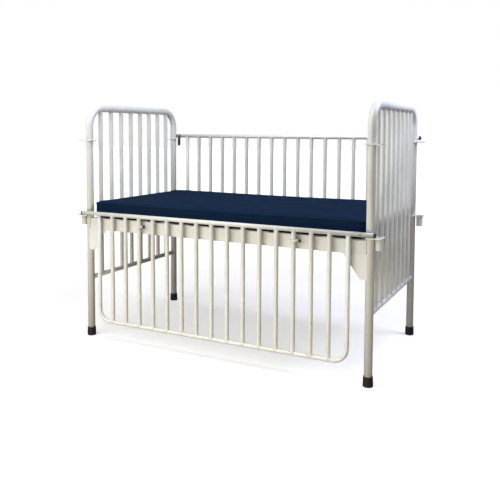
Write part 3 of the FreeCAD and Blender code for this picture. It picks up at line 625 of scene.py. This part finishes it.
def pole_ring_welds(welds, row, side):
    """Fine beads under and over the upper ring, all round the post."""
    low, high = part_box("pole_ring_%s_%s" % (row, side))
    for z in (low.z - PLATE_LIFT, high.z + PLATE_LIFT):
        welds.bead(level_ring(post_at(row, side, z), POST_R + SEAM_SWELL), RING_BEAD_R, closed=True)


def pole_socket_weld(welds, row, side):
    """A bead round the socket, under the plate that it hangs from."""
    low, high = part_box("pole_socket_%s_%s" % (row, side))
    centre = ((low.x + high.x) / 2, (low.y + high.y) / 2, high.z - PLATE_LIFT)
    welds.bead(level_ring(centre, (high.x - low.x) / 2 + SEAM_SWELL), closed=True)


def gusset_welds(welds, row, side):
    """A bead down the post on each face of the gusset, and two stitches along its top."""
    low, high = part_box("gusset_%s_%s" % (row, side))
    for y in (low.y, high.y):
        off = POST_Y - abs(y)
        x = SIDES[side] * (POST_X - math.sqrt(POST_R ** 2 - off ** 2))
        welds.bead([(x, y, low.z + GUSSET_FOOT), (x, y, high.z - GUSSET_HEAD)])
    tip = low.x if side == "right" else high.x
    width = SIDES[side] * (POST_X - POST_R) - tip
    ledge = (ROWS[row] * (APRON_Y + STITCH_OUT), high.z + STITCH_UP)
    for start in STITCH_STARTS:
        ends = [tip + width * share for share in (start, start + STITCH_LENGTH)]
        welds.bead([(x, *ledge) for x in ends], STITCH_R)


def guide_plate_welds(welds, row, side):
    """Beads under and over the guide plate, where it meets the side channel."""
    low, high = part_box("rail_guide_%s_%s" % (row, side))
    x, z = SIDES[side] * GUIDE_BAR * RAIL_PITCH, (low.z + high.z) / 2
    reach = GUIDE_HALF - GUIDE_BEAD_STOP
    for way in (-1, 1):
        seam = (ROWS[row] * (APRON_Y + GUIDE_LIFT), z + way * (GUIDE_THICK / 2 + GUIDE_LIFT))
        welds.bead([(x - reach, *seam), (x + reach, *seam)], GUIDE_BEAD_R)


def corner_welds(row, side):
    welds = Form()
    for weld in (rest_plate_welds, pole_ring_welds, pole_socket_weld, gusset_welds, guide_plate_welds):
        weld(welds, row, side)
    welds.piece("welds_corner_%s_%s" % (row, side), "frame", "ivory_paint")


# Mattress

def line_of_points(half):
    """Coordinates from -half to half, closer together across the rounded edge at both ends."""
    near = [0.0, 0.25, 0.5, 0.75, 1.0, 1.45]  # in edge radii from the end
    inner = half - near[-1] * COVER_EDGE
    count = max(2, 2 * round(inner / COVER_CELL))
    between = [-inner + 2 * inner * i / count for i in range(count + 1)]
    ends = [half - n * COVER_EDGE for n in near[:-1]]
    return [-e for e in ends] + between + list(reversed(ends))


def round_off(u, v):
    """Turns the square corner of a unit cell into a round one."""
    size = math.hypot(u, v)
    if size < TINY:
        return u, v
    grow = max(u, v) / size
    return u * grow, v * grow


def slab(half_x, half_y, half_z, mid):
    """A closed slab with round corners seen from above and rounded edges all round."""
    lines = [line_of_points(half) for half in (half_x, half_y, half_z)]
    index, points, faces = {}, [], []

    def rounded(x, y, z):
        """A point of the square slab's skin, moved on to the rounded one."""
        u, v = abs(x) - (half_x - COVER_CORNER), abs(y) - (half_y - COVER_CORNER)
        if u > 0 and v > 0:
            ru, rv = round_off(u / COVER_CORNER, v / COVER_CORNER)
            u, v = COVER_CORNER * ru, COVER_CORNER * rv
            x = math.copysign(half_x - COVER_CORNER + u, x)
            y = math.copysign(half_y - COVER_CORNER + v, y)
        if u > 0 and v > 0:
            depth, out = COVER_CORNER - math.hypot(u, v), Vector((u, v)).normalized()
        elif u > v:
            depth, out = COVER_CORNER - u, Vector((1, 0))
        else:
            depth, out = COVER_CORNER - v, Vector((0, 1))
        a, b = COVER_EDGE - depth, abs(z) - (half_z - COVER_EDGE)
        if a > 0 and b > 0:
            ra, rb = round_off(a / COVER_EDGE, b / COVER_EDGE)
            shift = COVER_EDGE * ra - a
            x += math.copysign(out.x * shift, x)
            y += math.copysign(out.y * shift, y)
            z = math.copysign(half_z - COVER_EDGE + COVER_EDGE * rb, z)
        return Vector((x, y, mid + z))

    def vertex(*key):
        if key not in index:
            index[key] = len(points)
            points.append(rounded(*(line[i] for line, i in zip(lines, key))))
        return index[key]

    def wall(cells_a, cells_b, place):
        for a in range(cells_a):
            for b in range(cells_b):
                corners = ((a, b), (a + 1, b), (a + 1, b + 1), (a, b + 1))
                faces.append([vertex(*place(i, j)) for i, j in corners])

    nx, ny, nz = (len(line) - 1 for line in lines)
    for k in (0, nz):
        wall(nx, ny, lambda i, j: (i, j, k))
    for j in (0, ny):
        wall(nx, nz, lambda i, k: (i, j, k))
    for i in (0, nx):
        wall(ny, nz, lambda j, k: (i, j, k))
    mesh = bpy.data.meshes.new("mattress_form")
    mesh.from_pydata([tuple(p) for p in points], [], faces)
    outward(mesh)
    return mesh


def inflate(pad, foot):
    """Blows the cover out by cloth simulation, held at its foot, and keeps each point near its start."""
    start = np.empty(len(pad.data.vertices) * 3)
    pad.data.vertices.foreach_get("co", start)
    start = start.reshape(-1, 3)
    pinned = pad.vertex_groups.new(name="pinned")
    pinned.add([i for i, point in enumerate(start) if point[2] < foot + PINNED], 1.0, "REPLACE")
    cloth = pad.modifiers.new("cover", "CLOTH")
    cloth.collision_settings.use_collision = False
    how = cloth.settings
    how.quality = 6
    how.mass = 0.35
    how.tension_stiffness = how.compression_stiffness = 12
    how.shear_stiffness = 6
    how.bending_stiffness = 0.4
    how.use_pressure = True
    how.uniform_pressure_force = 4.0
    how.effector_weights.gravity = 0
    how.vertex_group_mass = "pinned"
    how.shrink_min = -0.012
    for step in range(1, CLOTH_STEPS + 1):
        bpy.context.scene.frame_set(step)
    seen = pad.evaluated_get(bpy.context.evaluated_depsgraph_get())
    blown = np.empty(start.size)
    seen.to_mesh().vertices.foreach_get("co", blown)
    seen.to_mesh_clear()
    pad.modifiers.remove(cloth)
    bpy.context.scene.frame_set(1)
    move = blown.reshape(-1, 3) - start
    length = np.linalg.norm(move, axis=1, keepdims=True)
    move *= np.minimum(1.0, COVER_REACH / np.maximum(length, TINY))
    placed = start + move
    for axis, swell in ((0, COVER_SWELL_X), (1, COVER_SWELL_Y)):
        limit = np.abs(start[:, axis]).max() + swell
        placed[:, axis] = np.clip(placed[:, axis], -limit, limit)
    placed[:, 2] = np.maximum(placed[:, 2], foot)
    pad.data.vertices.foreach_set("co", placed.ravel())
    pad.data.update()


def mattress():
    low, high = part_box("mattress")
    half_x, half_y = high.x - COVER_INSET_X, high.y - COVER_INSET_Y
    top = high.z - COVER_INSET_Z
    pad = show("mattress_cover", slab(half_x, half_y, (top - low.z) / 2, (low.z + top) / 2))
    inflate(pad, low.z)
    finer = pad.modifiers.new("finer", "SUBSURF")
    finer.levels = finer.render_levels = 1
    cover = put(applied(pad, "mattress_cover"), "mattress_cover", "frame", "mattress_cover", "mattress")
    seam_cords(cover, half_x, half_y, (low.z + CORD_ABOVE_FOOT, high.z - CORD_BELOW_TOP))


def seam_cords(cover, half_x, half_y, heights):
    """Welded seam cords that follow the cover round its bottom and top edges."""
    skin = BVHTree.FromPolygons([v.co for v in cover.data.vertices],
                                [tuple(f.vertices) for f in cover.data.polygons])
    cords = Form()
    for z in heights:
        path = []
        for sx, sy, start in ((1, 1, 0), (-1, 1, 90), (-1, -1, 180), (1, -1, 270)):
            hub = (sx * (half_x - COVER_CORNER), sy * (half_y - COVER_CORNER), z)
            path += level_arc(hub, COVER_CORNER, start, start + 90, CORNER_STEPS)
        snug = []
        for point in resample(path, CORD_STEP, True):
            out = Vector((point.x / half_x, point.y / half_y, 0)).normalized()
            spot, normal, _, _ = skin.find_nearest(point)
            snug.append(spot - CORD_SINK * (normal if normal.dot(out) > 0 else -normal))
        cords.tube(snug, CORD_R, CORD_FACETS, True)
    cords.piece("mattress_seams", "frame", "mattress_cover")


for side in SIDES:
    end_frame(side)
for row in ROWS:
    side_rail(row)
    for side in SIDES:
        corner_welds(row, side)
mattress()


# Floor, backdrop, lights and camera

def pale_floor(tree, where):
    """White studio floor: matte with a faint sheen, so that it takes a soft shadow and a weak reflection
    of the feet. What it throws back on the cot is darker and warmer than what the camera sees."""
    camera_ray = add_node(tree, "ShaderNodeLightPath", take="Is Camera Ray")
    tone = add_node(tree, "ShaderNodeMix", OF_COLOURS, take=2, input0=camera_ray,
                    input6=linear(FLOOR_BOUNCE), input7=linear(FLOOR_SEEN))
    matte = add_node(tree, "ShaderNodeBsdfDiffuse", take="BSDF", Color=tone)
    sheen = add_node(tree, "ShaderNodeBsdfGlossy", take="BSDF", Color=linear(FLOOR_SHEEN), Roughness=0.16)
    surface = add_node(tree, "ShaderNodeMixShader", take=0, Fac=FLOOR_GLOSS, input1=matte, input2=sheen)
    away = add_node(tree, "ShaderNodeVectorMath", {"operation": "LENGTH"}, take="Value", input0=where)
    glow = add_node(tree, "ShaderNodeMapRange", take="Result", Value=away, From_Min=GLOW_NEAR,
                    From_Max=GLOW_FAR, To_Min=FLOOR_LIFT, To_Max=1)
    seen = add_node(tree, "ShaderNodeMath", {"operation": "MULTIPLY"}, take=0, input0=camera_ray,
                    input1=glow)
    lift = add_node(tree, "ShaderNodeEmission", take=0, Color=WHITE, Strength=seen)
    return add_node(tree, "ShaderNodeAddShader", take=0, input0=surface, input1=lift)


def floor():
    mesh = bpy.data.meshes.new("floor")
    corners = ((-1, -1), (1, -1), (1, 1), (-1, 1))
    mesh.from_pydata([(FLOOR_HALF * x, FLOOR_HALF * y, 0) for x, y in corners], [], [(0, 1, 2, 3)])
    mesh.materials.append(new_material("studio_floor_white", pale_floor))
    show("floor", mesh)


def white_room():
    """Soft light mostly from the open front of the studio, and a white backdrop for the camera."""
    world = bpy.data.worlds.new("studio")
    bpy.context.scene.world = world
    world.use_nodes = True
    tree = world.node_tree
    tree.nodes.clear()
    camera_ray = add_node(tree, "ShaderNodeLightPath", take="Is Camera Ray")
    way = add_node(tree, "ShaderNodeTexCoord", take="Generated")
    turn = add_node(tree, "ShaderNodeVectorMath", {"operation": "DOT_PRODUCT"}, take="Value", input0=way,
                    input1=OPEN_FRONT)
    level = add_node(tree, "ShaderNodeMapRange", take="Result", Value=turn, From_Min=-1, From_Max=1,
                     To_Min=BACK_LIGHT, To_Max=FRONT_LIGHT)
    room = add_node(tree, "ShaderNodeBackground", take=0, Color=linear(ROOM_COLOUR), Strength=level)
    backdrop = add_node(tree, "ShaderNodeBackground", take=0, Color=WHITE, Strength=1)
    both = add_node(tree, "ShaderNodeMixShader", take=0, Fac=camera_ray, input1=room, input2=backdrop)
    add_node(tree, "ShaderNodeOutputWorld", Surface=both)


def softbox(name, place, aim, size, watts, colour):
    lamp = bpy.data.lights.new(name, "AREA")
    lamp.shape = "RECTANGLE"
    lamp.size, lamp.size_y = size
    lamp.energy = watts
    lamp.color = linear(colour)[:3]
    box = show(name, lamp)
    box.location = place
    box.visible_camera = False
    box.rotation_mode = "QUATERNION"
    box.rotation_quaternion = (Vector(aim) - Vector(place)).to_track_quat("-Z", "Y")


def camera():
    """A standing view from the front right, level with the raised rail."""
    yaw, pitch, roll = (math.radians(a) for a in (EYE_YAW, EYE_PITCH, EYE_ROLL))
    forward = Vector((-math.sin(yaw) * math.cos(pitch), math.cos(yaw) * math.cos(pitch),
                      -math.sin(pitch)))
    level = Vector((math.cos(yaw), math.sin(yaw), 0))
    upright = level.cross(forward)
    right = math.cos(roll) * level + math.sin(roll) * upright
    up = -math.sin(roll) * level + math.cos(roll) * upright
    optics = bpy.data.cameras.new("view")
    optics.sensor_width = SENSOR
    optics.lens = LENS
    optics.shift_x, optics.shift_y = LENS_SHIFT_X, LENS_SHIFT_Y
    optics.clip_end = FAR_CLIP
    view = show("view", optics)
    view.rotation_mode = "QUATERNION"
    view.rotation_quaternion = Matrix((right, up, -forward)).transposed().to_quaternion()
    view.location = EYE
    bpy.context.scene.camera = view


floor()
white_room()
for name, settings in SOFTBOXES.items():
    softbox(name, *settings)
camera()
bpy.context.scene.view_settings.view_transform = "Standard"
